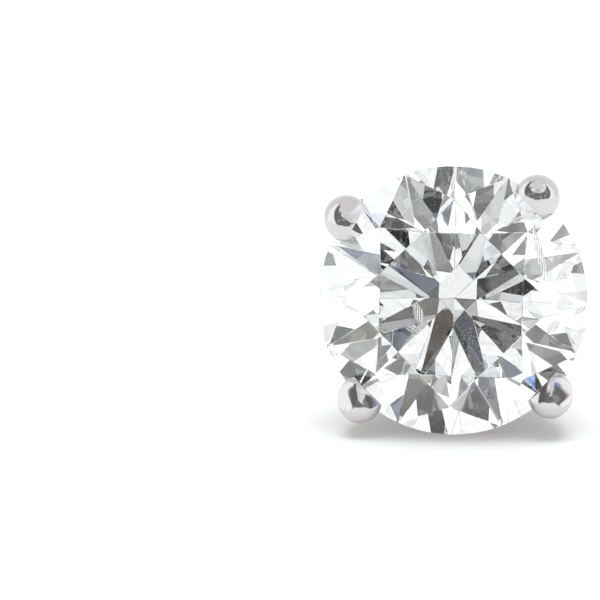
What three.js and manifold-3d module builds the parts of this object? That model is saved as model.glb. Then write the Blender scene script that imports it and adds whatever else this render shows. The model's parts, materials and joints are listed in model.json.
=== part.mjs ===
// Stud earring: a round brilliant stone in a four-prong basket of polished white metal, with a straight
// post soldered to the back of the basket and a scroll clutch pushed onto the post. Millimetres and degrees.
//
// Each piece is made upright on the stone's own axis: the table looks up +Z and the middle of the girdle
// is at z = 0. The whole stud is then laid down as it lies on a table by itself, on the edge of the girdle
// and the lower scroll of the clutch, with its face towards -Y.
import * as THREE from "three";
import { ParametricGeometry } from "three/addons/geometries/ParametricGeometry.js";
import { mergeVertices } from "three/addons/utils/BufferGeometryUtils.js";
import Module from "manifold-3d";

// Stone: a standard brilliant with 8 mains, 8 stars and 16 halves on each side of the girdle.
const stoneDiameter = 6.5;
const tableDiameter = 3.72; // from corner to corner
const crownAngle = 35.2;
const pavilionAngle = 40.3;
const starLength = 0.79; // seen from above, from the table's edge outwards
const lowerHalfLength = 2.56; // seen from above, from the girdle inwards
const girdleThickness = 0.22; // where the mains meet it; the band is thinner in its valleys
const mainAzimuth = 21.5; // the first main; the table then has an almost flat side at the top
const girdleStepsPerHalf = 4;

// Prongs: round wires, notched for the girdle, their tips domed and filed flat towards the stone.
const prongWire = 1.1;
const seatGap = 0.05; // between the girdle and the notch
const notchWall = 0.5; // metal left outside the girdle
const prongCover = 0.28; // how far a tip reaches in over the crown
const tipLength = 0.34; // straight stretch above the girdle, under the dome
const domeHeight = 0.42;
const bendDrop = 0.9; // the wire starts to bend upright this far below the girdle
const prongSides = 24;
const bendSteps = 5;
const domeSteps = 5;
// The four prongs were set by hand, so neither they nor their filed faces stand exactly square.
const prongs = [
  { azimuth: 51.6, filedTowards: 45 },
  { azimuth: 142.5, filedTowards: 149 },
  { azimuth: 227.2, filedTowards: 225 },
  { azimuth: 317.1, filedTowards: 316 },
];

// Basket: a round rail half way down, and a flat ring at the back with a strap across it for the post.
const culetClearance = 0.35;
const baseThickness = 0.5;
const baseRingInner = 2.2; // diameters
const baseRingOuter = 4.1;
const prongFootDiameter = 3.0; // circle on which the prongs' centre lines meet the back of the ring
const railDrop = 1.75; // below the girdle
const railWire = 0.64;
const ringChamfer = 0.08;
const strapWidth = 1.3;
const strapSetback = 0.08; // of its front face behind the ring's
const strapBite = 0.1; // how far its ends run into the ring
const filedOff = 0.12; // metal that stands out at the back until it is filed flat

// Post
const postDiameter = 0.85;
const postLength = 11;
const solderFillet = 0.2;
const grooveFromTip = 1.6;
const grooveWidth = 0.5;
const grooveDepth = 0.08;
const postTipLength = 0.35;
const arcSteps = 4; // in the rounding of the post's tip and of its solder fillet

// Clutch: one strip of sheet with a hole for the post, both ends rolled up so that they grip it.
const lobeGap = 6; // free post between the basket and the clutch
const clutchSheet = 0.24;
const clutchWidth = 3.4; // along the scrolls
const scrollRadius = 0.75; // of the sheet's middle, where the roll begins
const scrollPitch = 0.42; // how far the roll closes in over one turn
const scrollTurns = 1.2;
const gripGap = 0.05; // between a scroll and the post
const clutchHoleGap = 0.05;
const clutchCorner = 0.8;
const scrollStepsPerTurn = 20;

const roundSides = 48;
const railSides = 10;
const cornerSteps = 6;
const cutReach = 20; // how far a cutting block runs past what it cuts
const weldDistance = 1e-4;
const leanRounds = 8; // more than it takes to settle on the two points that touch

const stoneRadius = stoneDiameter / 2;
const girdleTop = girdleThickness / 2;
const girdleBottom = -girdleThickness / 2;
const culetZ = girdleBottom - stoneRadius * tangent(pavilionAngle);
const baseFront = culetZ - culetClearance;
const baseBack = baseFront - baseThickness;
const prongRadius = prongWire / 2;
const prongStand = stoneRadius + seatGap + notchWall - prongRadius; // a tip's centre line, from the axis
const postRadius = postDiameter / 2;
const clutchFront = baseBack - lobeGap;

const wasm = await Module();
wasm.setup();

function radians(degrees) {
  return THREE.MathUtils.degToRad(degrees);
}

function tangent(degrees) {
  return Math.tan(radians(degrees));
}

// A point at a distance from the stone's axis.
function around(azimuth, distance, z) {
  const angle = radians(azimuth);
  return new THREE.Vector3(distance * Math.cos(angle), distance * Math.sin(angle), z);
}

// A closed geometry as a solid that can be joined and cut.
function solid(geometry) {
  const bare = new THREE.BufferGeometry();
  bare.setAttribute("position", geometry.getAttribute("position"));
  bare.setIndex(geometry.index);
  const welded = mergeVertices(bare, weldDistance);
  return new wasm.Manifold(
    new wasm.Mesh({
      numProp: 3,
      vertProperties: welded.attributes.position.array,
      triVerts: new Uint32Array(welded.index.array),
    }),
  );
}

function geometryOf(body) {
  const mesh = body.getMesh();
  const geometry = new THREE.BufferGeometry();
  geometry.setAttribute("position", new THREE.BufferAttribute(new Float32Array(mesh.vertProperties), 3));
  geometry.setIndex(new THREE.BufferAttribute(new Uint32Array(mesh.triVerts), 1));
  return geometry;
}

function block(width, depth, height, x, y, z) {
  return new THREE.BoxGeometry(width, depth, height).translate(x, y, z);
}

// A profile of [distance from the axis, z] pairs turned about the Z axis.
function turned(profile, sides) {
  const points = profile.map(([distance, z]) => new THREE.Vector2(distance, z));
  return new THREE.LatheGeometry(points, sides).rotateX(Math.PI / 2);
}

// Flat facets around the origin, each turned to face outwards, as one geometry.
function facetedBody(facets) {
  const positions = [];
  for (const facet of facets) {
    const normal = new THREE.Plane().setFromCoplanarPoints(facet[0], facet[1], facet[2]).normal;
    const ring = normal.dot(facet[0]) > 0 ? facet : [...facet].reverse();
    for (let i = 1; i < ring.length - 1; i++) {
      positions.push(...ring[0], ...ring[i], ...ring[i + 1]);
    }
  }
  const geometry = new THREE.BufferGeometry();
  geometry.setAttribute("position", new THREE.Float32BufferAttribute(positions, 3));
  return geometry;
}

// The stretch of girdle edge under a half facet: points of the girdle's circle that lie in the facet's plane.
function halfFacetEdge(inner, start, end, startAzimuth, endAzimuth) {
  const plane = new THREE.Plane().setFromCoplanarPoints(inner, start, end);
  const edge = [start];
  for (let i = 1; i < girdleStepsPerHalf; i++) {
    const azimuth = startAzimuth + ((endAzimuth - startAzimuth) * i) / girdleStepsPerHalf;
    const point = around(azimuth, stoneRadius, 0);
    point.z = -(plane.normal.x * point.x + plane.normal.y * point.y + plane.constant) / plane.normal.z;
    edge.push(point);
  }
  edge.push(end);
  return edge;
}

function brilliantCut() {
  const tableRadius = tableDiameter / 2;
  const halfStep = 22.5; // between a main and the half facets' shared corner beside it
  const starRadius = tableRadius * Math.cos(radians(halfStep)) + starLength;
  const keelRadius = stoneRadius - lowerHalfLength;
  const tableZ = girdleTop + (stoneRadius - tableRadius) * tangent(crownAngle);
  const starZ = girdleTop + (stoneRadius - starRadius * Math.cos(radians(halfStep))) * tangent(crownAngle);
  const keelZ = culetZ + keelRadius * Math.cos(radians(halfStep)) * tangent(pavilionAngle);
  const culet = new THREE.Vector3(0, 0, culetZ);
  const facets = [];
  const table = [];
  for (let main = 0; main < 8; main++) {
    const azimuth = mainAzimuth + 45 * main;
    const corner = around(azimuth, tableRadius, tableZ);
    const nextCorner = around(azimuth + 45, tableRadius, tableZ);
    const star = around(azimuth + halfStep, starRadius, starZ);
    const starBefore = around(azimuth - halfStep, starRadius, starZ);
    const keel = around(azimuth + halfStep, keelRadius, keelZ);
    const keelBefore = around(azimuth - halfStep, keelRadius, keelZ);
    const crownFoot = around(azimuth, stoneRadius, girdleTop);
    const pavilionFoot = around(azimuth, stoneRadius, girdleBottom);
    table.push(corner);
    facets.push([corner, star, nextCorner]);
    facets.push([corner, starBefore, crownFoot, star]);
    facets.push([culet, keelBefore, pavilionFoot, keel]);
    for (const [side, crownInner, pavilionInner] of [
      [halfStep, star, keel],
      [-halfStep, starBefore, keelBefore],
    ]) {
      const shared = azimuth + side;
      const upper = halfFacetEdge(
        crownInner, crownFoot, around(shared, stoneRadius, girdleTop), azimuth, shared);
      const lower = halfFacetEdge(
        pavilionInner, pavilionFoot, around(shared, stoneRadius, girdleBottom), azimuth, shared);
      facets.push([crownInner, ...upper]);
      facets.push([pavilionInner, ...lower]);
      for (let i = 0; i < girdleStepsPerHalf; i++) {
        facets.push([upper[i], upper[i + 1], lower[i + 1], lower[i]]);
      }
    }
  }
  facets.push(table);
  return facetedBody(facets);
}

// The centre line of a prong, as [distance from the axis, z] points: up from the back of the basket,
// round a bend and straight up past the girdle.
function prongLine() {
  const foot = new THREE.Vector2(prongFootDiameter / 2, baseBack - prongRadius);
  const bend = new THREE.Vector2(prongStand, -bendDrop / 2);
  const bendStart = bend.clone().sub(foot).setLength(bendDrop / 2).negate().add(bend);
  const line = new THREE.Path();
  line.moveTo(foot.x, foot.y);
  line.lineTo(bendStart.x, bendStart.y);
  line.quadraticCurveTo(bend.x, bend.y, prongStand, 0);
  line.lineTo(prongStand, tipLength);
  return line.getPoints(bendSteps);
}

// The distance of the prongs' centre line from the axis at a height on its straight stretch.
function prongDistanceAt(z) {
  const [foot, bendStart] = prongLine();
  return THREE.MathUtils.mapLinear(z, foot.y, bendStart.y, foot.x, bendStart.x);
}

// A round wire along the prongs' centre line, square at its foot and domed at its tip, standing at azimuth 0.
function prongWireGeometry() {
  const line = prongLine();
  const rings = line.map((centre, i) => {
    const before = line[Math.max(i - 1, 0)];
    const after = line[Math.min(i + 1, line.length - 1)];
    const way = new THREE.Vector2();
    if (i > 0) way.add(centre.clone().sub(before).normalize());
    if (i < line.length - 1) way.add(after.clone().sub(centre).normalize());
    return { centre, way: way.normalize(), radius: prongRadius };
  });
  const end = rings[rings.length - 1];
  rings.unshift({ ...rings[0], radius: 0 });
  for (let i = 1; i <= domeSteps; i++) {
    const angle = (Math.PI / 2) * (i / domeSteps);
    const centre = end.centre.clone().addScaledVector(end.way, domeHeight * Math.sin(angle));
    rings.push({ centre, way: end.way, radius: i < domeSteps ? prongRadius * Math.cos(angle) : 0 });
  }
  return new ParametricGeometry(
    (turn, share, target) => {
      const { centre, way, radius } = rings[Math.round(share * (rings.length - 1))];
      const angle = 2 * Math.PI * (turn % 1);
      const outwards = radius * Math.cos(angle);
      target.set(centre.x + outwards * way.y, radius * Math.sin(angle), centre.y - outwards * way.x);
    },
    prongSides,
    rings.length - 1,
  );
}

// One prong, its tip filed flat on the side that looks at the stone's axis.
function prong({ azimuth, filedTowards }) {
  const face = stoneRadius - prongCover;
  const file = block(cutReach, cutReach, cutReach, face - cutReach / 2, 0, girdleTop + cutReach / 2);
  const wire = prongWireGeometry().rotateZ(radians(azimuth));
  return solid(wire).subtract(solid(file.rotateZ(radians(filedTowards))));
}

// The flat ring at the back of the basket, a little too thick at the back until it is filed.
function baseRing() {
  const inner = baseRingInner / 2;
  const outer = baseRingOuter / 2;
  const back = baseBack - filedOff;
  return turned(
    [
      [inner, back],
      [outer, back],
      [outer, baseFront - ringChamfer],
      [outer - ringChamfer, baseFront],
      [inner + ringChamfer, baseFront],
      [inner, baseFront - ringChamfer],
      [inner, back],
    ],
    roundSides,
  );
}

function postGeometry() {
  const tip = baseBack - postLength;
  const groove = tip + grooveFromTip;
  const grooveFloor = postRadius - grooveDepth;
  const profile = [];
  for (let i = 0; i <= arcSteps; i++) {
    const angle = (Math.PI / 2) * (i / arcSteps);
    profile.push([postRadius * Math.sin(angle), tip + postTipLength * (1 - Math.cos(angle))]);
  }
  profile.push([postRadius, groove - grooveWidth / 2]);
  profile.push([grooveFloor, groove - grooveWidth / 2 + grooveDepth]);
  profile.push([grooveFloor, groove + grooveWidth / 2 - grooveDepth]);
  profile.push([postRadius, groove + grooveWidth / 2]);
  for (let i = 0; i <= arcSteps; i++) {
    const angle = (Math.PI / 2) * (i / arcSteps);
    profile.push([
      postRadius + solderFillet * (1 - Math.cos(angle)),
      baseBack - solderFillet * (1 - Math.sin(angle)),
    ]);
  }
  const root = baseBack + baseThickness / 2;
  profile.push([postRadius + solderFillet, root], [0, root]);
  return turned(profile, prongSides);
}

// Everything that is soldered together: prongs, rail, ring, strap and post.
function settingWithPost() {
  const railZ = -railDrop;
  const rail = new THREE.TorusGeometry(prongDistanceAt(railZ), railWire / 2, railSides, roundSides);
  const strapFront = baseFront - strapSetback;
  const strapBack = baseBack - filedOff;
  const strap = block(
    baseRingInner + 2 * strapBite, strapWidth, strapFront - strapBack, 0, 0, (strapFront + strapBack) / 2);
  const backFile = block(cutReach, cutReach, cutReach, 0, 0, baseBack - cutReach / 2);
  const seatScale = 1 + seatGap / stoneRadius;
  const seat = brilliantCut().scale(seatScale, seatScale, seatScale);
  let basket = solid(baseRing()).add(solid(strap)).add(solid(rail.translate(0, 0, railZ)));
  for (const each of prongs) {
    basket = basket.add(prong(each));
  }
  return geometryOf(basket.subtract(solid(backFile)).subtract(solid(seat)).add(solid(postGeometry())));
}

// The outline of the clutch's strip, seen along its scrolls: x across the post and y along it.
function clutchStrip() {
  const middleY = clutchFront - clutchSheet / 2;
  const gripTurn = 0.75; // of the roll, where it comes round to the post
  const gripRadius = scrollRadius - scrollPitch * gripTurn + clutchSheet / 2;
  const scrollX = postRadius + gripGap + gripRadius;
  const scrollY = middleY - scrollRadius;
  const middle = [];
  const steps = Math.round(scrollTurns * scrollStepsPerTurn);
  for (let i = 0; i <= steps; i++) {
    const turns = (scrollTurns * i) / steps;
    const angle = Math.PI / 2 - 2 * Math.PI * turns;
    const radius = scrollRadius - scrollPitch * turns;
    middle.push(new THREE.Vector2(scrollX + radius * Math.cos(angle), scrollY + radius * Math.sin(angle)));
  }
  const line = [...middle.map((p) => new THREE.Vector2(-p.x, p.y)).reverse(), ...middle];
  const sides = [[], []];
  line.forEach((point, i) => {
    const before = line[Math.max(i - 1, 0)];
    const after = line[Math.min(i + 1, line.length - 1)];
    const way = after.clone().sub(before).normalize();
    const across = new THREE.Vector2(-way.y, way.x).multiplyScalar(clutchSheet / 2);
    sides[0].push(point.clone().add(across));
    sides[1].push(point.clone().sub(across));
  });
  const outline = new THREE.Shape([...sides[1], ...sides[0].reverse()]);
  return { outline, reach: scrollX + scrollRadius + clutchSheet / 2 };
}

function clutch() {
  const { outline, reach } = clutchStrip();
  const strip = new THREE.ExtrudeGeometry(outline, { depth: clutchWidth, bevelEnabled: false })
    .translate(0, 0, -clutchWidth / 2)
    .applyMatrix4(
      new THREE.Matrix4().makeBasis(
        new THREE.Vector3(0, 1, 0), new THREE.Vector3(0, 0, 1), new THREE.Vector3(1, 0, 0)),
    );
  const halfWidth = clutchWidth / 2;
  const rounded = new THREE.Shape();
  rounded.absarc(halfWidth - clutchCorner, reach - clutchCorner, clutchCorner, 0, Math.PI / 2);
  rounded.absarc(clutchCorner - halfWidth, reach - clutchCorner, clutchCorner, Math.PI / 2, Math.PI);
  rounded.absarc(clutchCorner - halfWidth, clutchCorner - reach, clutchCorner, Math.PI, 1.5 * Math.PI);
  rounded.absarc(halfWidth - clutchCorner, clutchCorner - reach, clutchCorner, 1.5 * Math.PI, 2 * Math.PI);
  const trim = new THREE.ExtrudeGeometry(rounded, {
    depth: cutReach,
    bevelEnabled: false,
    curveSegments: cornerSteps,
  }).translate(0, 0, clutchFront - cutReach / 2);
  const holeRadius = postRadius + clutchHoleGap;
  const hole = new THREE.CylinderGeometry(holeRadius, holeRadius, 2 * clutchSheet, prongSides)
    .rotateX(Math.PI / 2)
    .translate(0, 0, clutchFront - clutchSheet / 2);
  return geometryOf(solid(strip).intersect(solid(trim)).subtract(solid(hole)));
}

function verticesOf(geometry) {
  const position = geometry.getAttribute("position");
  const vertices = [];
  for (let i = 0; i < position.count; i++) {
    vertices.push(new THREE.Vector3().fromBufferAttribute(position, i));
  }
  return vertices;
}

// How far the stud leans back, in radians, when its front and its clutch both touch the table it lies on.
function restLean(front, back) {
  let lean = 0;
  const heightOf = (point) => point.y * Math.cos(lean) + point.z * Math.sin(lean);
  const lowest = (points) => points.reduce((a, b) => (heightOf(b) < heightOf(a) ? b : a));
  for (let i = 0; i < leanRounds; i++) {
    const fore = lowest(front);
    const aft = lowest(back);
    lean = Math.atan2(aft.y - fore.y, fore.z - aft.z);
  }
  return lean;
}

function named(name, geometry, material) {
  const mesh = new THREE.Mesh(geometry, material);
  mesh.name = name;
  return mesh;
}

const stoneMaterial = new THREE.MeshStandardMaterial({ color: 0xf3f6f7, roughness: 0, metalness: 0 });
const whiteGold = new THREE.MeshStandardMaterial({ color: 0xd8d0d3, roughness: 0.12, metalness: 1 });

const stone = named("brilliant_stone", brilliantCut(), stoneMaterial);
const setting = named("prong_setting_with_post", settingWithPost(), whiteGold);
const clutchBack = named("clutch_back", clutch(), whiteGold.clone());

const stud = new THREE.Group();
stud.add(stone, setting, clutchBack);
const front = [...verticesOf(stone.geometry), ...verticesOf(setting.geometry)].filter((p) => p.z >= baseBack);
stud.rotation.x = Math.PI / 2 - restLean(front, verticesOf(clutchBack.geometry));

const earring = new THREE.Group();
earring.add(stud);
const bounds = new THREE.Box3().setFromObject(earring, true);
stud.position.set(
  -(bounds.min.x + bounds.max.x) / 2,
  -(bounds.min.y + bounds.max.y) / 2,
  -bounds.min.z,
);

export default earring;
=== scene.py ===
import json
import math
import random

import bmesh
import bpy
from mathutils import Matrix, Vector, kdtree


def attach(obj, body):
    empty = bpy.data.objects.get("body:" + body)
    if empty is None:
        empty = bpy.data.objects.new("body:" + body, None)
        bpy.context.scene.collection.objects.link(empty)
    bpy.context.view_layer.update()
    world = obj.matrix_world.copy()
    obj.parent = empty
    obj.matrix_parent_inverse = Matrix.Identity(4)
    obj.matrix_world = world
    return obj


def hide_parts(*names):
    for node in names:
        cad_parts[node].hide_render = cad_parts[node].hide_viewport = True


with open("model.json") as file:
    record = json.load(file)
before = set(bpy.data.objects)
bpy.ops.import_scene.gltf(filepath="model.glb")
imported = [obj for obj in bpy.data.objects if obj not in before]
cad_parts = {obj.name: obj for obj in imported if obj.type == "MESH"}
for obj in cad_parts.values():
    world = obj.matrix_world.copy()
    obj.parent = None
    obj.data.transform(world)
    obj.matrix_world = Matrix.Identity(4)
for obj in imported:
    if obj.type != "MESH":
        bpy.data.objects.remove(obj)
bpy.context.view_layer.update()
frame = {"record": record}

scene = bpy.context.scene

# The stone is a round brilliant of colourless crystal, one carat. A round blank is ground flat facet by
# facet: the table, eight mains on each side of the girdle, eight stars and thirty-two halves. It is made
# upright about its own axis, in millimetres, and laid down in the pose in which the whole stud rests.
mm = 0.001
stone_radius = 3.25
table_radius = 1.86
crown_angle = math.radians(35.2)
pavilion_angle = math.radians(40.3)
star_length = 0.79
lower_half_length = 2.56
girdle_half = 0.11
main_azimuth = 21.5
mains = 8
mains_step = 360 / mains
halves_step = mains_step / 2
girdle_sides = 64
blank_height = 9.0
grinding_slack = 2e-5
edge_bluntness = 0.005

culet_depth = girdle_half + stone_radius * math.tan(pavilion_angle)
culet_clearance = 0.35
base_thickness = 0.5
ring_back = -(culet_depth + culet_clearance + base_thickness)
seat_mount_across = 1.6

mounts = {mount["name"]: mount for mount in frame["record"]["mounts"]}
stone_looks = Vector(mounts["clutch_front_pad"]["axis"]).normalized()
lean = math.atan2(stone_looks.z, -stone_looks.y)
seat_mount = Vector(mounts["basket_back_seat"]["pos_m"])
girdle_centre = seat_mount - Vector((seat_mount_across * mm, 0, 0)) - stone_looks * ring_back * mm
lay_down = (
    Matrix.Translation(girdle_centre)
    @ Matrix.Rotation(math.pi / 2 - lean, 4, "X")
    @ Matrix.Scale(mm, 4)
)


def around(azimuth, distance, height):
    """A point about the stone's axis."""
    angle = math.radians(azimuth)
    return Vector((distance * math.cos(angle), distance * math.sin(angle), height))


def grind(stone, a, b, c):
    """Grind away all that lies outside the plane through three points, and close the cut as one facet."""
    normal = (b - a).cross(c - a).normalized()
    if normal.dot(a) < 0:
        normal.negate()
    bmesh.ops.bisect_plane(
        stone,
        geom=stone.verts[:] + stone.edges[:] + stone.faces[:],
        dist=grinding_slack,
        plane_co=a,
        plane_no=normal,
        clear_outer=True,
    )
    rim = [edge for edge in stone.edges if edge.is_boundary]
    if rim:
        bmesh.ops.edgeloop_fill(stone, edges=rim)


def mesh_from(shape, name):
    """Turn a shape into a mesh; the shape is used up."""
    mesh = bpy.data.meshes.new(name)
    shape.to_mesh(mesh)
    shape.free()
    return mesh


def add_object(name, data):
    """Put a mesh, lamp or camera into the scene."""
    made = bpy.data.objects.new(name, data)
    scene.collection.objects.link(made)
    return made


def piece_from(shape, name, material):
    """Turn a shape into a named piece of the stud, laid down in its place."""
    bmesh.ops.transform(shape, matrix=lay_down, verts=shape.verts)
    piece = add_object(name, mesh_from(shape, name))
    piece.data.materials.append(material)
    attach(piece, "root")
    return piece


class Wire:
    """A node's output that can be added, subtracted and multiplied as a number is."""

    def __init__(self, finish, socket):
        self.finish = finish
        self.socket = socket

    def maths(self, operation, first, second):
        return self.finish.node("ShaderNodeMath", {"operation": operation}, {0: first, 1: second})

    def __add__(self, other):
        return self.maths("ADD", self, other)

    def __radd__(self, other):
        return self.maths("ADD", other, self)

    def __sub__(self, other):
        return self.maths("SUBTRACT", self, other)

    def __rsub__(self, other):
        return self.maths("SUBTRACT", other, self)

    def __mul__(self, other):
        return self.maths("MULTIPLY", self, other)

    def __rmul__(self, other):
        return self.maths("MULTIPLY", other, self)

    def __truediv__(self, other):
        return self.maths("DIVIDE", self, other)


class Finish:
    """The nodes of one finish."""

    def __init__(self, tree):
        self.tree = tree
        tree.nodes.clear()

    def node(self, kind, settings=None, inputs=None, output=0):
        """Add a node, set it up, feed its sockets with values or wires, and give back one output."""
        made = self.tree.nodes.new(kind)
        for key, value in (settings or {}).items():
            setattr(made, key, value)
        for key, value in (inputs or {}).items():
            if isinstance(value, Wire):
                self.tree.links.new(value.socket, made.inputs[key])
            else:
                made.inputs[key].default_value = value
        return Wire(self, made.outputs[output]) if len(made.outputs) else None


def new_material(name):
    material = bpy.data.materials.new(name)
    material.use_nodes = True
    return material, Finish(material.node_tree)


def blend(finish, share, first, second):
    """The first colour where the share is 0, the second where it is 1."""
    return finish.node(
        "ShaderNodeMix", {"data_type": "RGBA"}, {0: share, 6: first, 7: second}, output=2
    )


def surface(finish, inputs):
    """Give a material its one surface."""
    shader = finish.node("ShaderNodeBsdfPrincipled", inputs=inputs)
    finish.node("ShaderNodeOutputMaterial", inputs={"Surface": shader})


# Clear crystal: next to no colour of its own, with a faint cloud of cooler water in it.
white = (1.0, 1.0, 1.0, 1.0)
stone_material, crystal = new_material("clear_crystal")
inside = crystal.node("ShaderNodeTexCoord", output="Object")
cloud = crystal.node("ShaderNodeTexNoise", inputs={"Vector": inside, "Scale": 260.0, "Detail": 1.0})
surface(
    crystal,
    {
        "Base Color": blend(crystal, cloud, white, (0.985, 0.993, 1.0, 1.0)),
        "Roughness": 0.0,
        "IOR": 2.417,
        "Transmission Weight": 1.0,
    },
)

table_height = girdle_half + (stone_radius - table_radius) * math.tan(crown_angle)
halves_cos = math.cos(math.radians(halves_step))
star_radius = table_radius * halves_cos + star_length
star_height = girdle_half + (stone_radius - star_radius * halves_cos) * math.tan(crown_angle)
keel_radius = stone_radius - lower_half_length
keel_height = keel_radius * halves_cos * math.tan(pavilion_angle) - culet_depth
culet = Vector((0, 0, -culet_depth))

stone_shape = bmesh.new()
bmesh.ops.create_cone(
    stone_shape,
    cap_ends=True,
    segments=girdle_sides,
    radius1=stone_radius,
    radius2=stone_radius,
    depth=blank_height,
    matrix=Matrix.Rotation(math.radians(main_azimuth), 4, "Z"),
)
main_azimuths = [main_azimuth + mains_step * count for count in range(mains)]
for azimuth in main_azimuths:
    corner = around(azimuth, table_radius, table_height)
    star = around(azimuth + halves_step, star_radius, star_height)
    keel = around(azimuth + halves_step, keel_radius, keel_height)
    grind(stone_shape, corner, star, around(azimuth, stone_radius, girdle_half))
    grind(stone_shape, culet, keel, around(azimuth, stone_radius, -girdle_half))
grind(stone_shape, *(around(azimuth, table_radius, table_height) for azimuth in main_azimuths[:3]))
for azimuth in main_azimuths:
    corner = around(azimuth, table_radius, table_height)
    next_corner = around(azimuth + mains_step, table_radius, table_height)
    grind(stone_shape, corner, around(azimuth + halves_step, star_radius, star_height), next_corner)
for azimuth in main_azimuths:
    for side in (halves_step, -halves_step):
        for inner_radius, inner_height, girdle_edge in (
            (star_radius, star_height, girdle_half),
            (keel_radius, keel_height, -girdle_half),
        ):
            grind(
                stone_shape,
                around(azimuth + side, inner_radius, inner_height),
                around(azimuth, stone_radius, girdle_edge),
                around(azimuth + side, stone_radius, girdle_edge),
            )
facet_edges = [
    edge
    for edge in stone_shape.edges
    if (edge.verts[0].co - edge.verts[1].co).xy.length > grinding_slack
]
bmesh.ops.bevel(
    stone_shape,
    geom=facet_edges,
    offset=edge_bluntness,
    affect="EDGES",
    segments=1,
    profile=0.5,
    material=-1,
    clamp_overlap=True,
)
stone = piece_from(stone_shape, "stone", stone_material)
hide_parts("brilliant_stone")

# Two feathers and a scatter of pinpoints lie inside the stone: cleavage cracks whose ribs flash white, and
# white crystals as fine as dust, most of them in three drifts. They grew there, so nothing holds them. The
# white flash of the ribs and the white of the pinpoints are painted light: both glow with their own colour.
feather_material, frost = new_material("feather_frost_and_painted_glow")
frost_place = frost.node("ShaderNodeTexCoord", output="Object")
frost_ribs = frost.node(
    "ShaderNodeTexWave",
    {"bands_direction": "X"},
    {"Vector": frost_place, "Scale": 5600.0, "Distortion": 4.0, "Detail": 2.0, "Detail Scale": 3.0},
)
frost_and_painted_glow = blend(frost, frost_ribs, (0.16, 0.17, 0.18, 1.0), white)
frost_gaps = frost.node("ShaderNodeTexNoise", inputs={"Vector": frost_place, "Scale": 9000.0})
# The frost colour also feeds the emission, so the feathers glow, the ribs brightest: painted light that
# stands in for light the cracks reflect.
surface(
    frost,
    {
        "Base Color": frost_and_painted_glow,
        "Roughness": 0.5,
        "Alpha": frost_gaps * 0.5 + 0.35,
        "Emission Color": frost_and_painted_glow,
        "Emission Strength": 0.9,
    },
)

feathers = (
    {"place": (2.03, 1.16, 0.5), "width": 0.2, "length": 1.3, "turn": 12.6, "tilt": 10.0},
    {"place": (-0.79, -0.23, 0.85), "width": 0.24, "length": 0.44, "turn": 22.0, "tilt": 8.0},
)
feather_columns = 6
feather_rows = 16
feather_taper = 2.5
feather_end = 0.15
feather_ruffle = 0.02
feather_thickness = 0.012
scatter_seed = 7
feather_shape = bmesh.new()
chance = random.Random(scatter_seed)
for feather in feathers:
    made = bmesh.ops.create_grid(
        feather_shape, x_segments=feather_columns, y_segments=feather_rows, size=0.5
    )["verts"]
    for vert in made:
        pointed = 1 - abs(2 * vert.co.y) ** feather_taper
        vert.co.x *= feather["width"] * max(pointed, feather_end)
        vert.co.y *= feather["length"]
        vert.co.z = chance.uniform(-feather_ruffle, feather_ruffle)
    placed = (
        Matrix.Translation(feather["place"])
        @ Matrix.Rotation(math.radians(feather["turn"]), 4, "Z")
        @ Matrix.Rotation(math.radians(feather["tilt"]), 4, "Y")
    )
    bmesh.ops.transform(feather_shape, matrix=placed, verts=made)
bmesh.ops.solidify(feather_shape, geom=feather_shape.faces[:], thickness=feather_thickness)
piece_from(feather_shape, "feathers", feather_material)

pinpoint_material, dust = new_material("pinpoint_white_painted_glow")
dust_place = dust.node("ShaderNodeTexCoord", output="Object")
dust_grain = dust.node("ShaderNodeTexNoise", inputs={"Vector": dust_place, "Scale": 20000.0})
pinpoint_tone_and_painted_glow = blend(dust, dust_grain, (0.75, 0.79, 0.85, 1.0), white)
# The pinpoints' colour also feeds the emission, so they glow white: painted glints of light, not lit by any
# lamp.
surface(
    dust,
    {
        "Base Color": pinpoint_tone_and_painted_glow,
        "Roughness": 0.5,
        "Emission Color": pinpoint_tone_and_painted_glow,
        "Emission Strength": 0.8,
    },
)
drifts = (
    {"place": (-0.72, 2.38, 0.3), "spread": 0.34, "count": 36},
    {"place": (0.46, -0.95, 0.8), "spread": 0.27, "count": 130},
    {"place": (0.5, -2.7, 0.25), "spread": 0.3, "count": 16},
    {"place": (0.0, 0.0, 0.2), "spread": 1.3, "count": 30},
)
drift_reach = 0.88
pinpoint_size = 0.009
pinpoint_least = 0.5
pinpoint_most = 1.3
pinpoint_shape = bmesh.new()
for drift in drifts:
    for _ in range(drift["count"]):
        speck = Vector(drift["place"])
        speck.x += chance.gauss(0, drift["spread"])
        speck.y += chance.gauss(0, drift["spread"])
        if speck.xy.length > drift_reach * stone_radius:
            continue
        bmesh.ops.create_icosphere(
            pinpoint_shape,
            subdivisions=1,
            radius=pinpoint_size * chance.uniform(pinpoint_least, pinpoint_most),
            matrix=Matrix.Translation(speck),
        )
piece_from(pinpoint_shape, "pinpoints", pinpoint_material)

# The basket is soldered up from round wire and plate in white gold: four prongs, a gallery rail, a flat
# ring and a strap that carries the post. It is polished, and the prongs are then notched, pushed over the
# girdle, domed, filed flat on the side that looks at the stone, and eased with a stroke or two on top.
prong_radius = 0.55
seat_gap = 0.05
notch_wall = 0.5
prong_cover = 0.28
tip_length = 0.34
dome_height = 0.42
bend_drop = 0.9
prong_foot_radius = 1.5
prong_sides = 64
prong_stand = stone_radius + seat_gap + notch_wall - prong_radius
prongs = (
    {"azimuth": 51.6, "filed_towards": 45.0, "apex": (0.0, 0.02), "eased": (225.0,)},
    {"azimuth": 142.5, "filed_towards": 149.0, "apex": (0.05, -0.12), "eased": (329.0, 60.0)},
    {"azimuth": 227.2, "filed_towards": 225.0, "apex": (0.0, -0.15), "eased": (45.0, 152.0)},
    {"azimuth": 317.1, "filed_towards": 316.0, "apex": (0.0, -0.14), "eased": (136.0, 30.0)},
)
wire_step = 0.12
bend_steps = 10
tip_steps = 3
dome_steps = 14
dome_fullness = 2.2
file_size = 20.0
easing_from_apex = 0.13
easing_drop = 0.02
easing_slope = math.radians(35)

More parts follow.
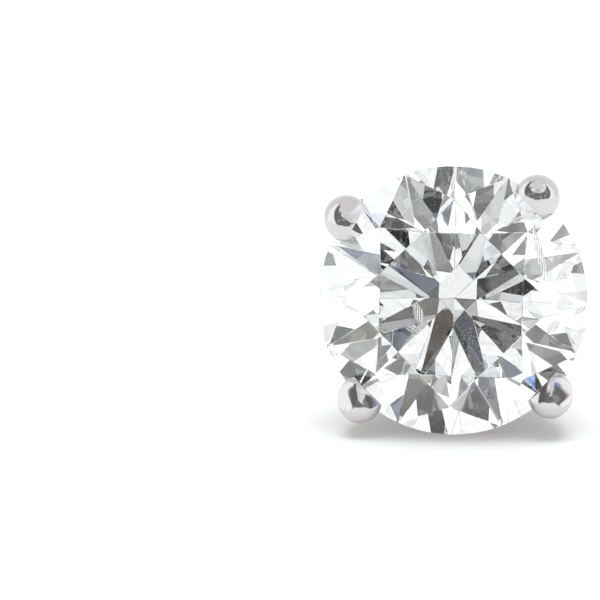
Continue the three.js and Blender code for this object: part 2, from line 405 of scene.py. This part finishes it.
metal_material, gold = new_material("white_gold_polished")
gold_place = gold.node("ShaderNodeTexCoord", output="Object")
gold_hand = gold.node(
    "ShaderNodeTexNoise", inputs={"Vector": gold_place, "Scale": 900.0, "Detail": 3.0, "Roughness": 0.5}
)
gold_lines = gold.node(
    "ShaderNodeTexNoise", inputs={"Vector": gold_place, "Scale": 9000.0, "Detail": 2.0, "Roughness": 0.6}
)
gold_bump = gold.node(
    "ShaderNodeBump",
    inputs={"Strength": 0.12, "Distance": 0.00003, "Height": gold_hand * 0.8 + gold_lines * 0.06},
)
surface(
    gold,
    {
        "Base Color": blend(gold, gold_hand, (0.61, 0.578, 0.59, 1.0), (0.69, 0.657, 0.67, 1.0)),
        "Metallic": 0.76,
        "Roughness": gold_lines * 0.05 + 0.045,
        "Normal": gold_bump,
    },
)


def combine(body, tool, operation):
    """Weld one closed shape onto another or cut it out of it; both are used up."""
    pair = [add_object("blank", mesh_from(shape, "blank")) for shape in (body, tool)]
    modifier = pair[0].modifiers.new("combine", "BOOLEAN")
    modifier.operation = operation
    modifier.solver = "EXACT"
    modifier.object = pair[1]
    result = bmesh.new()
    result.from_object(pair[0], bpy.context.evaluated_depsgraph_get())
    for blank in pair:
        mesh = blank.data
        bpy.data.objects.remove(blank)
        bpy.data.meshes.remove(mesh)
    return result


def file_away(body, middle):
    """File away what lies inside a large block, whose middle and turn are given."""
    file = bmesh.new()
    bmesh.ops.create_cube(file, size=file_size, matrix=middle)
    return combine(body, file, "DIFFERENCE")


def pull_wire(centre, way, radius, stages):
    """Draw a round wire from a point: each stage moves its end cap on, turns it and scales it."""
    wire = bmesh.new()
    across = way.to_track_quat("Z", "Y").to_matrix().to_4x4()
    bmesh.ops.create_circle(
        wire,
        cap_ends=True,
        segments=prong_sides,
        radius=radius,
        matrix=Matrix.Translation(centre) @ across,
    )
    cap = wire.faces[:]
    here, heading = centre, way
    for count, (step_centre, step_way, scale) in enumerate(stages):
        made = bmesh.ops.extrude_face_region(wire, geom=cap)["geom"]
        if count:
            bmesh.ops.delete(wire, geom=cap, context="FACES_ONLY")
        ring = [item for item in made if isinstance(item, bmesh.types.BMVert)]
        cap = [item for item in made if isinstance(item, bmesh.types.BMFace)]
        turn = heading.rotation_difference(step_way).to_matrix()
        bmesh.ops.scale(wire, vec=(scale, scale, scale), space=Matrix.Translation(-here), verts=ring)
        bmesh.ops.rotate(wire, cent=here, matrix=turn, verts=ring)
        bmesh.ops.translate(wire, vec=step_centre - here, verts=ring)
        here, heading = step_centre, step_way
    bmesh.ops.recalc_face_normals(wire, faces=wire.faces[:])
    return wire


def prong_blank(apex_shift):
    """A prong's wire, standing at azimuth 0: out and up, round a bend, up past the girdle, domed."""
    foot = Vector((prong_foot_radius, 0, ring_back - prong_radius))
    knee = Vector((prong_stand, 0, -bend_drop / 2))
    start = knee - (knee - foot).normalized() * bend_drop / 2
    end = Vector((prong_stand, 0, 0))
    up = Vector((0, 0, 1))
    slant = (knee - foot).normalized()
    stages = []
    straight = (start - foot).length
    for count in range(1, int(straight / wire_step)):
        stages.append((foot + slant * wire_step * count, slant, 1.0))
    for count in range(bend_steps + 1):
        share = count / bend_steps
        point = start.lerp(knee, share).lerp(knee.lerp(end, share), share)
        stages.append((point, slant.slerp(up, share), 1.0))
    for count in range(1, tip_steps + 1):
        stages.append((end + up * tip_length * count / tip_steps, up, 1.0))
    top = end + up * tip_length
    wide = 1.0
    for count in range(1, dome_steps):
        angle = math.pi / 2 * count / dome_steps
        rise = math.sin(angle) ** (2 / dome_fullness)
        width = math.cos(angle) ** (2 / dome_fullness)
        stages.append((top + (up * dome_height + apex_shift) * rise, up, width / wide))
        wide = width
    return pull_wire(foot, slant, prong_radius, stages)


def filed_prong(prong):
    """One prong in its place, its tip filed flat towards the stone's axis and then eased on top."""
    turn = Matrix.Rotation(math.radians(prong["azimuth"]), 3, "Z")
    apex_shift = Vector((*prong["apex"], 0))
    shape = prong_blank(turn.inverted() @ apex_shift)
    bmesh.ops.rotate(shape, cent=(0, 0, 0), matrix=turn, verts=shape.verts)
    block_half = file_size / 2
    file = bmesh.new()
    bmesh.ops.create_cube(file, size=file_size)
    bmesh.ops.translate(
        file, vec=(stone_radius - prong_cover - block_half, 0, girdle_half + block_half), verts=file.verts
    )
    bmesh.ops.rotate(
        file,
        cent=(0, 0, 0),
        matrix=Matrix.Rotation(math.radians(prong["filed_towards"]), 3, "Z"),
        verts=file.verts,
    )
    shape = combine(shape, file, "DIFFERENCE")
    apex = around(prong["azimuth"], prong_stand, tip_length + dome_height - easing_drop) + apex_shift
    for azimuth in prong["eased"]:
        sloped = (
            Matrix.Translation(apex + around(azimuth, easing_from_apex, 0))
            @ Matrix.Rotation(math.radians(azimuth), 4, "Z")
            @ Matrix.Rotation(easing_slope, 4, "Y")
            @ Matrix.Translation((0, 0, block_half))
        )
        shape = file_away(shape, sloped)
    return shape


def turned(profile, steps):
    """A closed or axis-to-axis profile of (distance, height) points spun round the stone's axis."""
    shape = bmesh.new()
    points = [shape.verts.new((distance, 0, height)) for distance, height in profile]
    edges = [shape.edges.new(pair) for pair in zip(points, points[1:])]
    if profile[0][0] > 0:
        edges.append(shape.edges.new((points[-1], points[0])))
    bmesh.ops.spin(
        shape,
        geom=points + edges,
        cent=(0, 0, 0),
        axis=(0, 0, 1),
        angle=2 * math.pi,
        steps=steps,
        use_merge=True,
    )
    bmesh.ops.remove_doubles(shape, verts=shape.verts[:], dist=grinding_slack)
    bmesh.ops.recalc_face_normals(shape, faces=shape.faces[:])
    return shape


def arc(centre, radii, start, end, steps):
    """Points of an arc from one angle to another, in degrees."""
    return [
        (
            centre[0] + radii[0] * math.cos(math.radians(start + (end - start) * count / steps)),
            centre[1] + radii[1] * math.sin(math.radians(start + (end - start) * count / steps)),
        )
        for count in range(steps + 1)
    ]


ring_inner = 1.1
ring_outer = 2.05
ring_front = ring_back + base_thickness
ring_round = 0.1
ring_round_steps = 4
ring_steps = 128
ring_corners = (
    {"place": (ring_inner + ring_round, ring_back + ring_round), "start": 180},
    {"place": (ring_outer - ring_round, ring_back + ring_round), "start": 270},
    {"place": (ring_outer - ring_round, ring_front - ring_round), "start": 0},
    {"place": (ring_inner + ring_round, ring_front - ring_round), "start": 90},
)
ring_profile = []
for corner in ring_corners:
    ring_profile += arc(
        corner["place"], (ring_round, ring_round), corner["start"], corner["start"] + 90, ring_round_steps
    )
setting_shape = turned(ring_profile, ring_steps)

rail_drop = 1.75
rail_radius = 0.32
rail_sides = 28
foot_height = ring_back - prong_radius
knee_run = Vector((prong_stand - prong_foot_radius, -bend_drop / 2 - foot_height))
rail_ring = prong_foot_radius + knee_run.x * (-rail_drop - foot_height) / knee_run.y
rail_profile = arc((rail_ring, -rail_drop), (rail_radius, rail_radius), 0, 360, rail_sides)[:-1]
setting_shape = combine(setting_shape, turned(rail_profile, ring_steps), "UNION")

strap_width = 1.3
strap_thickness = 0.42
strap_bite = 0.1
strap_edge = 0.06
strap = bmesh.new()
bmesh.ops.create_cube(strap, size=1.0)
bmesh.ops.scale(
    strap, vec=(2 * (ring_inner + strap_bite + ring_round), strap_width, strap_thickness), verts=strap.verts
)
bmesh.ops.translate(strap, vec=(0, 0, ring_back + strap_thickness / 2), verts=strap.verts)
bmesh.ops.bevel(
    strap,
    geom=strap.edges[:],
    offset=strap_edge,
    affect="EDGES",
    segments=3,
    profile=0.5,
    material=-1,
)
setting_shape = combine(setting_shape, strap, "UNION")

for prong in prongs:
    setting_shape = combine(setting_shape, filed_prong(prong), "UNION")

setting_shape = file_away(setting_shape, Matrix.Translation((0, 0, ring_back - file_size / 2)))

seat_tool = bmesh.new()
seat_tool.from_mesh(stone.data)
bmesh.ops.transform(seat_tool, matrix=lay_down.inverted(), verts=seat_tool.verts)
seat_swell = 1 + seat_gap / stone_radius
bmesh.ops.scale(seat_tool, vec=(seat_swell, seat_swell, seat_swell), verts=seat_tool.verts)
setting_shape = combine(setting_shape, seat_tool, "DIFFERENCE")

post_radius = 0.425
post_length = 10.99
post_tip_length = 0.35
post_sides = 72
solder_fillet = 0.2
solder_fillet_steps = 8
groove_from_tip = 1.6
groove_width = 0.5
groove_depth = 0.08
groove_round = 0.9
round_steps = 10
post_tip = ring_back - post_length
post_root = ring_back + base_thickness / 2
groove = post_tip + groove_from_tip
post_profile = (
    arc((0, post_tip + post_tip_length), (post_radius, post_tip_length), 270, 360, round_steps)
    + [(post_radius, groove - groove_width / 2)]
    + arc((post_radius, groove), (groove_depth, groove_width / 2 * groove_round), 270, 90, round_steps)
    + [(post_radius, groove + groove_width / 2)]
    + arc(
        (post_radius + solder_fillet, ring_back - solder_fillet),
        (solder_fillet, solder_fillet),
        180,
        90,
        solder_fillet_steps,
    )
    + [(post_radius + solder_fillet, post_root), (0, post_root)]
)
setting_shape = combine(setting_shape, turned(post_profile, post_sides), "UNION")

# Solder has run into every inner corner, so the surface is eased there.
solder_reach = 0.1
solder_corner = math.radians(25)
solder_rounds = 8
inner_corners = [
    vert.co.copy()
    for edge in setting_shape.edges
    if edge.is_manifold and not edge.is_convex and edge.calc_face_angle(0.0) > solder_corner
    for vert in edge.verts
]
corner_tree = kdtree.KDTree(len(inner_corners))
for count, corner in enumerate(inner_corners):
    corner_tree.insert(corner, count)
corner_tree.balance()
soldered = [vert for vert in setting_shape.verts if corner_tree.find(vert.co)[2] < solder_reach]
for _ in range(solder_rounds):
    bmesh.ops.smooth_vert(
        setting_shape, verts=soldered, factor=0.5, use_axis_x=True, use_axis_y=True, use_axis_z=True
    )


def shade(piece, crease):
    """Smooth shading, broken along the edges that are sharper than the crease."""
    mesh = piece.data
    shape = bmesh.new()
    shape.from_mesh(mesh)
    for face in shape.faces:
        face.smooth = True
    for edge in shape.edges:
        edge.smooth = edge.calc_face_angle(0.0) < crease
    shape.to_mesh(mesh)
    shape.free()


setting_crease = math.radians(32)
setting = piece_from(setting_shape, "basket_and_post", metal_material)
shade(setting, setting_crease)
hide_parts("prong_setting_with_post")

# The clutch is one strip of thin white gold sheet. A hole is punched in its middle for the post, and both
# ends are rolled up behind it into scrolls that grip the post between them.
clutch_sheet = 0.24
clutch_width = 3.4
clutch_corner = 0.8
lobe_gap = 6.0
scroll_radius = 0.75
scroll_pitch = 0.42
scroll_turns = 1.2
grip_gap = 0.05
hole_gap = 0.05
hole_sides = 64
grip_turn = 0.75
clutch_front = ring_back - lobe_gap
sheet_middle = clutch_front - clutch_sheet / 2
scroll_across = post_radius + grip_gap + scroll_radius - scroll_pitch * grip_turn + clutch_sheet / 2
clutch_reach = scroll_across + scroll_radius + clutch_sheet / 2
pad_steps = 8
scroll_steps = 56
sheet_steps = 26
sheet_edge = 0.045
sheet_crease = math.radians(50)

sheet_material, sheet_gold = new_material("white_gold_sheet")
sheet_place = sheet_gold.node("ShaderNodeTexCoord", output="Object")
sheet_drawn = sheet_gold.node(
    "ShaderNodeMapping",
    inputs={"Vector": sheet_place, "Scale": (400.0, 9000.0, 9000.0)},
)
sheet_lines = sheet_gold.node(
    "ShaderNodeTexNoise", inputs={"Vector": sheet_drawn, "Scale": 1.0, "Detail": 3.0, "Roughness": 0.6}
)
sheet_hand = sheet_gold.node(
    "ShaderNodeTexNoise", inputs={"Vector": sheet_place, "Scale": 700.0, "Detail": 2.0}
)
sheet_bump = sheet_gold.node(
    "ShaderNodeBump", inputs={"Strength": 0.15, "Distance": 0.00002, "Height": sheet_lines}
)
surface(
    sheet_gold,
    {
        "Base Color": blend(sheet_gold, sheet_hand, (0.62, 0.58, 0.59, 1.0), (0.74, 0.70, 0.71, 1.0)),
        "Metallic": 1.0,
        "Roughness": sheet_lines * 0.16 + 0.08,
        "Normal": sheet_bump,
    },
)


def rolled(share):
    """The place of a point of the strip, as (height, depth): share runs from -1 to 1 along the strip."""
    side = math.copysign(1.0, share)
    rows = abs(share) * (pad_steps + scroll_steps)
    if rows <= pad_steps:
        return side * scroll_across * rows / pad_steps, sheet_middle
    turns = scroll_turns * (rows - pad_steps) / scroll_steps
    angle = math.pi / 2 - 2 * math.pi * turns
    radius = scroll_radius - scroll_pitch * turns
    across = scroll_across + radius * math.cos(angle)
    return side * across, sheet_middle - scroll_radius + radius * math.sin(angle)


def half_width(height):
    """Half the strip's width at a height: its corners are rounded where it reaches furthest out."""
    into_corner = abs(height) - (clutch_reach - clutch_corner)
    if into_corner <= 0:
        return clutch_width / 2
    return clutch_width / 2 - clutch_corner + math.sqrt(max(clutch_corner**2 - into_corner**2, 0.0))


clutch_shape = bmesh.new()
bmesh.ops.create_grid(
    clutch_shape, x_segments=sheet_steps, y_segments=2 * (pad_steps + scroll_steps), size=1.0
)
for vert in clutch_shape.verts:
    height, depth = rolled(vert.co.y)
    vert.co = Vector((vert.co.x * half_width(height), height, depth))
bmesh.ops.recalc_face_normals(clutch_shape, faces=clutch_shape.faces[:])
clutch_shape.normal_update()
for vert in clutch_shape.verts:
    vert.co += vert.normal * clutch_sheet / 2
bmesh.ops.solidify(clutch_shape, geom=clutch_shape.faces[:], thickness=clutch_sheet)
bmesh.ops.recalc_face_normals(clutch_shape, faces=clutch_shape.faces[:])
punch = bmesh.new()
bmesh.ops.create_cone(
    punch,
    cap_ends=True,
    segments=hole_sides,
    radius1=post_radius + hole_gap,
    radius2=post_radius + hole_gap,
    depth=2 * clutch_sheet,
    matrix=Matrix.Translation((0, 0, sheet_middle)),
)
clutch_shape = combine(clutch_shape, punch, "DIFFERENCE")
clutch = piece_from(clutch_shape, "scroll_clutch", sheet_material)
blunted = clutch.modifiers.new("blunted edges", "BEVEL")
blunted.width = sheet_edge * mm
blunted.segments = 2
blunted.limit_method = "ANGLE"
blunted.angle_limit = sheet_crease
shade(clutch, sheet_crease)
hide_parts("clutch_back")

# The floor is a sheet of opal white acrylic, lit a little from below, so shadows on it stay faint. A soft
# lamp overhead lights the floor alone, and gathers the stud's shadow close below the stone.
floor_half = 0.4
lamp_energy = 4.6
lamp_width = math.radians(52)
lamp_tilt = math.radians(-5)
opal_material, opal = new_material("opal_sheet")
opal_place = opal.node("ShaderNodeTexCoord", output="Object")
opal_cloud = opal.node("ShaderNodeTexNoise", inputs={"Vector": opal_place, "Scale": 60.0, "Detail": 2.0})
surface(
    opal,
    {
        "Base Color": blend(opal, opal_cloud, (0.362, 0.372, 0.371, 1.0), (0.382, 0.392, 0.391, 1.0)),
        "Roughness": 1.0,
        "Specular IOR Level": 0.0,
        "Emission Color": (1.0, 0.97, 0.965, 1.0),
        "Emission Strength": 0.36,
    },
)
floor_shape = bmesh.new()
bmesh.ops.create_grid(floor_shape, x_segments=1, y_segments=1, size=floor_half)
floor = add_object("floor", mesh_from(floor_shape, "floor"))
floor.data.materials.append(opal_material)

overhead_lamp = add_object("overhead_lamp", bpy.data.lights.new("overhead_lamp", "SUN"))
overhead_lamp.data.energy = lamp_energy
overhead_lamp.data.angle = lamp_width
overhead_lamp.rotation_euler = (lamp_tilt, 0, 0)
overhead_lamp.visible_glossy = False
overhead_lamp.visible_transmission = False
lamp_reaches = bpy.data.collections.new("lamp_reaches")
lamp_reaches.objects.link(floor)
overhead_lamp.light_linking.receiver_collection = lamp_reaches

# The studio is a white tent all round, dimmer behind and overhead. Its front wall is open at the height of
# the lens, and the dark room beyond draws the facets. Dimmer cloth hangs above the opening, and paler and
# tinted things stand in it or beside it. Places are degrees from straight in front, towards +X and up.
opening_shift = -7.0
opening_middle = -0.5
opening_bend = 25.0
opening_tip = -11.0
opening_half = 21.0
opening_soft = 5.5
opening_reach = 67.0
opening_side_soft = 6.0
bend_span = 45.0
room_light = 0.003
room_right_light = 0.02
room_right_from = 1.0
room_right_soft = 28.0
tent_light = 1.5
tent_back_light = 1.05
tent_back_from = 90.0
tent_back_soft = 6.0
tent_top_light = 0.95
tent_top_from = 56.0
tent_top_soft = 4.0
backdrop_light = 1.6
tent_white = (0.972, 1.0, 0.995, 1.0)
cool_white = (0.96, 1.0, 1.0, 1.0)
sky_blue = (0.4, 0.6, 1.0, 1.0)
deep_blue = (0.15, 0.4, 1.0, 1.0)
amber = (1.0, 0.8, 0.6, 1.0)
thing_soft = 0.6
things = (
    {"place": (0, 45), "half": (40, 14), "light": 1.0, "colour": cool_white},
    {"place": (2, 28), "half": (12, 6), "light": 0.7, "colour": cool_white},
    {"place": (-15, 15), "half": (9, 2.5), "light": 0.4, "colour": cool_white},
    {"place": (-12, 21), "half": (4, 3), "light": 0.5, "colour": cool_white},
    {"place": (-32, 33), "half": (5, 12), "light": 0.05, "colour": cool_white},
    {"place": (-32, 12), "half": (4, 6), "light": 0.4, "colour": cool_white},
    {"place": (38, 22), "half": (7, 8), "light": 0.25, "colour": cool_white},
    {"place": (26, 9), "half": (3, 5), "light": 0.5, "colour": cool_white},
    {"place": (8, 5), "half": (4, 5), "light": 0.35, "colour": cool_white},
    {"place": (-10, 5), "half": (9, 2.5), "light": 0.15, "colour": sky_blue},
    {"place": (-2, 16), "half": (3, 2.5), "light": 0.1, "colour": sky_blue},
    {"place": (0, 5), "half": (3, 4), "light": 0.08, "colour": amber},
    {"place": (60, 46), "half": (4, 4), "light": 0.9, "colour": deep_blue},
)

world = bpy.data.worlds.new("tent")
scene.world = world
world.use_nodes = True
tent = Finish(world.node_tree)


def fading(value, edge, soft):
    """1 well inside an edge, 0 well outside it."""
    return tent.node(
        "ShaderNodeMapRange",
        {"interpolation_type": "SMOOTHSTEP"},
        {"Value": value, "From Min": edge - soft, "From Max": edge + soft, "To Min": 1.0, "To Max": 0.0},
    )


degree = math.radians(1)
tent_way = tent.node("ShaderNodeTexCoord", output="Generated")
way_x, way_y, way_z = (
    tent.node("ShaderNodeSeparateXYZ", inputs={0: tent_way}, output=axis) for axis in range(3)
)
sideways = tent.node("ShaderNodeMath", {"operation": "ARCTAN2"}, {0: way_x, 1: way_y * -1.0}) / degree
upwards = tent.node("ShaderNodeMath", {"operation": "ARCSINE"}, {0: way_z}) / degree
along = (sideways - opening_shift) / bend_span
opening_line = opening_middle + opening_bend * along * along + opening_tip * along
off_line = tent.node("ShaderNodeMath", {"operation": "ABSOLUTE"}, {0: upwards - opening_line})
off_side = tent.node("ShaderNodeMath", {"operation": "ABSOLUTE"}, {0: sideways - opening_shift})
opening = fading(off_line, opening_half, opening_soft) * fading(off_side, opening_reach, opening_side_soft)
behind = 1.0 - fading(off_side, tent_back_from, tent_back_soft)
overhead = 1.0 - fading(upwards, tent_top_from, tent_top_soft)
cloth = tent_light + (tent_back_light - tent_light) * behind
cloth = cloth + overhead * (tent_top_light - cloth)
room = room_light + room_right_light * (1.0 - fading(sideways, room_right_from, room_right_soft))
light = cloth + opening * (room - cloth)
colour = blend(tent, opening, tent_white, white)
for thing in things:
    across = (sideways - thing["place"][0]) / thing["half"][0]
    up = (upwards - thing["place"][1]) / thing["half"][1]
    seen = fading(across * across + up * up, 1.0, thing_soft)
    light = light + seen * (thing["light"] - light)
    colour = blend(tent, seen, colour, thing["colour"])
to_lens = tent.node("ShaderNodeLightPath", output="Is Camera Ray")
light = light + to_lens * (backdrop_light - light)
tent_cloth = tent.node("ShaderNodeBackground", inputs={"Color": colour, "Strength": light})
tent.node("ShaderNodeOutputWorld", inputs={"Surface": tent_cloth})

# The camera looks at the stone from a little above its axis and a little to its right, through a long lens.
# The stone's place in the view is in pixels, and so is the view itself.
view_width = 600
view_centre = Vector((300.0, 300.0))
stone_in_view = Vector((453.2, 299.8))
mm_per_pixel = 0.02411
camera_distance = 0.3
camera_right = math.radians(2.8)
camera_above = lean + math.radians(5.4)
back = Vector(
    (
        math.sin(camera_right) * math.cos(camera_above),
        -math.cos(camera_right) * math.cos(camera_above),
        math.sin(camera_above),
    )
)
facing = (-back).to_track_quat("-Z", "Y")
offset = (view_centre - stone_in_view) * mm_per_pixel * mm
aim = girdle_centre + facing @ Vector((offset.x, -offset.y, 0))
camera = add_object("camera", bpy.data.cameras.new("camera"))
camera.location = girdle_centre + back * camera_distance
camera.rotation_mode = "QUATERNION"
camera.rotation_quaternion = (aim - camera.location).to_track_quat("-Z", "Y")
camera.data.sensor_width = 36.0
camera.data.lens = camera.data.sensor_width * camera_distance / (view_width * mm_per_pixel * mm)
camera.data.clip_start = 0.01
camera.data.clip_end = 10.0
scene.camera = camera

scene.view_settings.view_transform = "Standard"
scene.view_settings.exposure = 0.0
scene.cycles.max_bounces = 24
scene.cycles.transmission_bounces = 24
scene.cycles.glossy_bounces = 12
scene.cycles.caustics_reflective = False
scene.cycles.caustics_refractive = False
